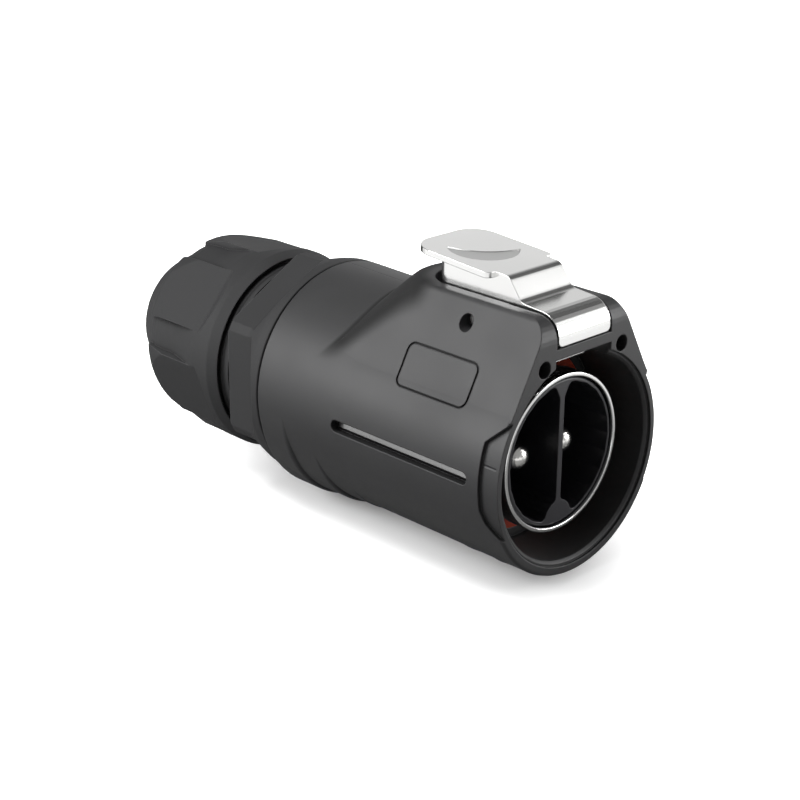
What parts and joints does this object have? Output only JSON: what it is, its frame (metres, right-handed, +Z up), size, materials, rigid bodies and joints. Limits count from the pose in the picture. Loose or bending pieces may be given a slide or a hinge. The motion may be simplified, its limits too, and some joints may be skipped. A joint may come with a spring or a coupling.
{
  "type": "waterproof circular power connector",
  "caption": "Round waterproof cable plug with pin contacts in a keyed insert, a sprung latch on top, a six-sided rear adapter and a domed cable gland nut.",
  "frame": {"origin": "centre of the mouth's front plane, on the plug's axis", "axes": "+X out of the mouth along the plug's axis, towards the mating connector; +Z up through the latch; -Y the side with the plain name panel"},
  "size_m": [0.1037, 0.0418, 0.0539],
  "materials": {
    "housing_nylon": "fine satin moulding",
    "insulator_plastic": "smooth satin",
    "latch_steel": "polished stainless sheet",
    "pin_steel": "drawn wire",
    "shell_plating": "bright nickel plating",
    "contact_silver": "silver plated",
    "screw_brass": "turned",
    "red_silicone": "smooth",
    "black_rubber": "matte"
  },
  "bodies": {
    "housing": {"housing": "housing_nylon", "latch_pin": "pin_steel", "latch_spring": "pin_steel", "contact_shell": "shell_plating", "shell_oring": "black_rubber", "face_seal": "red_silicone", "insulator_front": "insulator_plastic", "contact_seal": "black_rubber", "insulator_rear": "insulator_plastic", "contact_pin_left": "contact_silver", "contact_pin_right": "contact_silver", "terminal_screw_left_front": "screw_brass", "terminal_screw_left_rear": "screw_brass", "terminal_screw_right_front": "screw_brass", "terminal_screw_right_rear": "screw_brass", "insert_retainer": "housing_nylon"},
    "latch": {"latch_lever": "latch_steel"},
    "adapter_travel": {"adapter_oring": "black_rubber"},
    "adapter": {"rear_adapter": "housing_nylon"},
    "cable_grip": {"clamp_claw": "housing_nylon", "cable_seal": "black_rubber"},
    "nut": {"gland_nut": "housing_nylon"}
  },
  "joints": [
    {"name": "latch_press", "type": "hinge", "parent": "housing", "child": "latch", "pos_m": [-0.016, 0, 0.0224], "axis": [0, -1, 0], "range_deg": [0, 9], "stiffness_Nm_per_rad": 0.25, "springref_deg": -11.46, "deforming": ["latch_spring"]},
    {"name": "adapter_shift", "type": "slide", "parent": "housing", "child": "adapter_travel", "axis": [-1, 0, 0], "range_m": [0, 0.0076]},
    {"name": "adapter_turn", "type": "hinge", "parent": "adapter_travel", "child": "adapter", "pos_m": [-0.064, 0, 0], "axis": [-1, 0, 0], "range_deg": [0, 1800]},
    {"name": "nut_shift", "type": "slide", "parent": "adapter", "child": "cable_grip", "axis": [-1, 0, 0], "range_m": [0, 0.0101]},
    {"name": "nut_turn", "type": "hinge", "parent": "cable_grip", "child": "nut", "pos_m": [-0.088, 0, 0], "axis": [-1, 0, 0], "range_deg": [0, 1800]}
  ],
  "couplings": [
    {"joint": "adapter_shift", "follows": "adapter_turn", "m_per_rad": 0.0002387},
    {"joint": "nut_shift", "follows": "nut_turn", "m_per_rad": 0.0003183}
  ]
}
